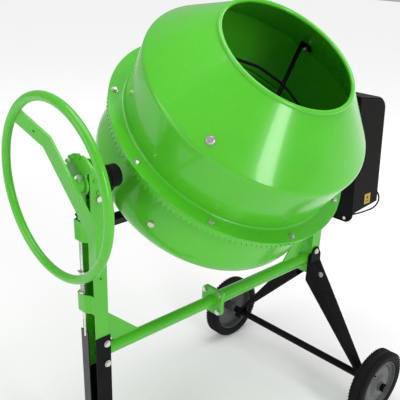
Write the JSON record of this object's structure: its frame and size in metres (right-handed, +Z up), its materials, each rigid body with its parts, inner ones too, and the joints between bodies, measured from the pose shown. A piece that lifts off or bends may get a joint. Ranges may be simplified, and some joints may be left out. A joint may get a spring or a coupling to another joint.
{
  "type": "concrete mixer",
  "caption": "Tilting-drum concrete mixer with a ring-gear drive, side handwheel, motor housing and a two-wheeled stand.",
  "frame": {"origin": "on the floor, under the middle of the machine's overall width and depth", "axes": "+X along the tilt axis from the handwheel to the motor, -Y the side the drum's mouth leans towards, +Z up"},
  "size_m": [1.1416, 0.6994, 1.2443],
  "materials": {
    "drum_paint": "glossy lime green powder coat",
    "frame_green": "glossy lime green powder coat",
    "frame_black": "satin black powder coat",
    "cover_black": "fine-grained dark grey moulding",
    "rim_grey": "silver grey paint",
    "tyre_rubber": "matt tread rubber",
    "zinc": "bright zinc plating",
    "bare_steel": "ground steel",
    "dark_steel": "dull blackened steel",
    "gear_iron": "oiled cast iron",
    "alloy": "die-cast aluminium",
    "soft_black": "matt black rubber",
    "cap_black": "smooth black moulding",
    "label_yellow": "blank yellow sticker",
    "switch_grey": "dark moulded plastic",
    "start_green": "green push button",
    "stop_red": "red push button"
  },
  "bodies": {
    "base": {"left_post": "frame_green", "right_post": "frame_green", "trunnion_bushes": "gear_iron", "post_gussets": "frame_green", "cross_tube_left": "frame_green", "cross_tube_right": "frame_green", "cross_flange_bolts": "zinc", "stand_bolts": "zinc", "near_wheel_leg": "frame_black", "far_wheel_leg": "frame_black", "wheel_axle": "frame_black", "axle_caps": "cap_black", "front_leg": "frame_black", "foot_bar": "frame_black", "foot_pads": "soft_black", "rod_guides": "frame_green", "spring_seat": "zinc", "motor_plate": "frame_black", "motor_cover": "cover_black", "motor_body": "alloy", "cover_screws": "zinc", "switch_box": "switch_grey", "cable_glands": "cap_black", "power_lead": "soft_black", "rating_label": "label_yellow", "pedal_pin": "bare_steel", "drive_belt": "soft_black"},
    "yoke_frame": {"yoke": "frame_black", "drum_spindle": "bare_steel", "handwheel_ring": "frame_green", "handwheel_spoke": "frame_green", "handwheel_hub": "frame_green", "hub_clamp_bolt": "zinc", "lock_sector": "frame_green", "shaft_bearings": "bare_steel"},
    "drum": {"upper_drum": "drum_paint", "lower_drum": "drum_paint", "waist_seal": "soft_black", "ring_gear": "drum_paint", "waist_bolts": "zinc", "mixing_blade_first": "frame_black", "mixing_blade_second": "frame_black", "blade_bolts": "zinc", "drum_hub": "frame_black", "spindle_bearings": "bare_steel"},
    "pinion_drive": {"pinion": "gear_iron", "pinion_shaft": "bare_steel", "large_pulley": "alloy"},
    "rotor": {"motor_shaft": "bare_steel"},
    "near_wheel": {"near_tyre": "tyre_rubber", "near_rim": "rim_grey"},
    "far_wheel": {"far_tyre": "tyre_rubber", "far_rim": "rim_grey"},
    "lock": {"lock_rod": "zinc", "rod_collars": "zinc", "lock_spring": "zinc", "pull_strap": "dark_steel"},
    "pedal": {"foot_pedal": "frame_black"},
    "start_switch": {"start_button": "start_green"},
    "stop_switch": {"stop_button": "stop_red"}
  },
  "joints": [
    {"name": "drum_tilt", "type": "hinge", "parent": "base", "child": "yoke_frame", "pos_m": [-0.05717, 0, 0.888], "axis": [1, 0, 0], "range_deg": [-32, 90]},
    {"name": "drum_spin", "type": "hinge", "parent": "yoke_frame", "child": "drum", "pos_m": [-0.05717, 0, 0.888], "axis": [0, -0.5906, 0.807], "continuous": true},
    {"name": "pinion_spin", "type": "hinge", "parent": "yoke_frame", "child": "pinion_drive", "pos_m": [0.34282, 0, 0.888], "axis": [1, 0, 0], "continuous": true},
    {"name": "motor_spin", "type": "hinge", "parent": "base", "child": "rotor", "pos_m": [0.44283, 0, 0.698], "axis": [1, 0, 0], "continuous": true},
    {"name": "near_wheel_spin", "type": "hinge", "parent": "base", "child": "near_wheel", "pos_m": [0.36783, -0.311, 0.1138], "axis": [0, 1, 0], "continuous": true},
    {"name": "far_wheel_spin", "type": "hinge", "parent": "base", "child": "far_wheel", "pos_m": [0.36783, 0.311, 0.1138], "axis": [0, 1, 0], "continuous": true},
    {"name": "lock_slide", "type": "slide", "parent": "base", "child": "lock", "axis": [0, 0, 1], "range_m": [0, 0.012], "deforming": ["lock_spring"]},
    {"name": "pedal_swing", "type": "hinge", "parent": "base", "child": "pedal", "pos_m": [-0.45917, 0, 0.088], "axis": [0, 1, 0], "range_deg": [0, 22.12]},
    {"name": "start_press", "type": "slide", "parent": "base", "child": "start_switch", "axis": [-1, 0, 0], "range_m": [0, 0.003], "stiffness_N_per_m": 600},
    {"name": "stop_press", "type": "slide", "parent": "base", "child": "stop_switch", "axis": [-1, 0, 0], "range_m": [0, 0.003], "stiffness_N_per_m": 600}
  ],
  "couplings": [
    {"joint": "pinion_spin", "follows": "drum_spin", "ratio": -11.308},
    {"joint": "motor_spin", "follows": "drum_spin", "ratio": -87.949},
    {"joint": "pedal_swing", "follows": "lock_slide", "rad_per_m": 32.033}
  ]
}
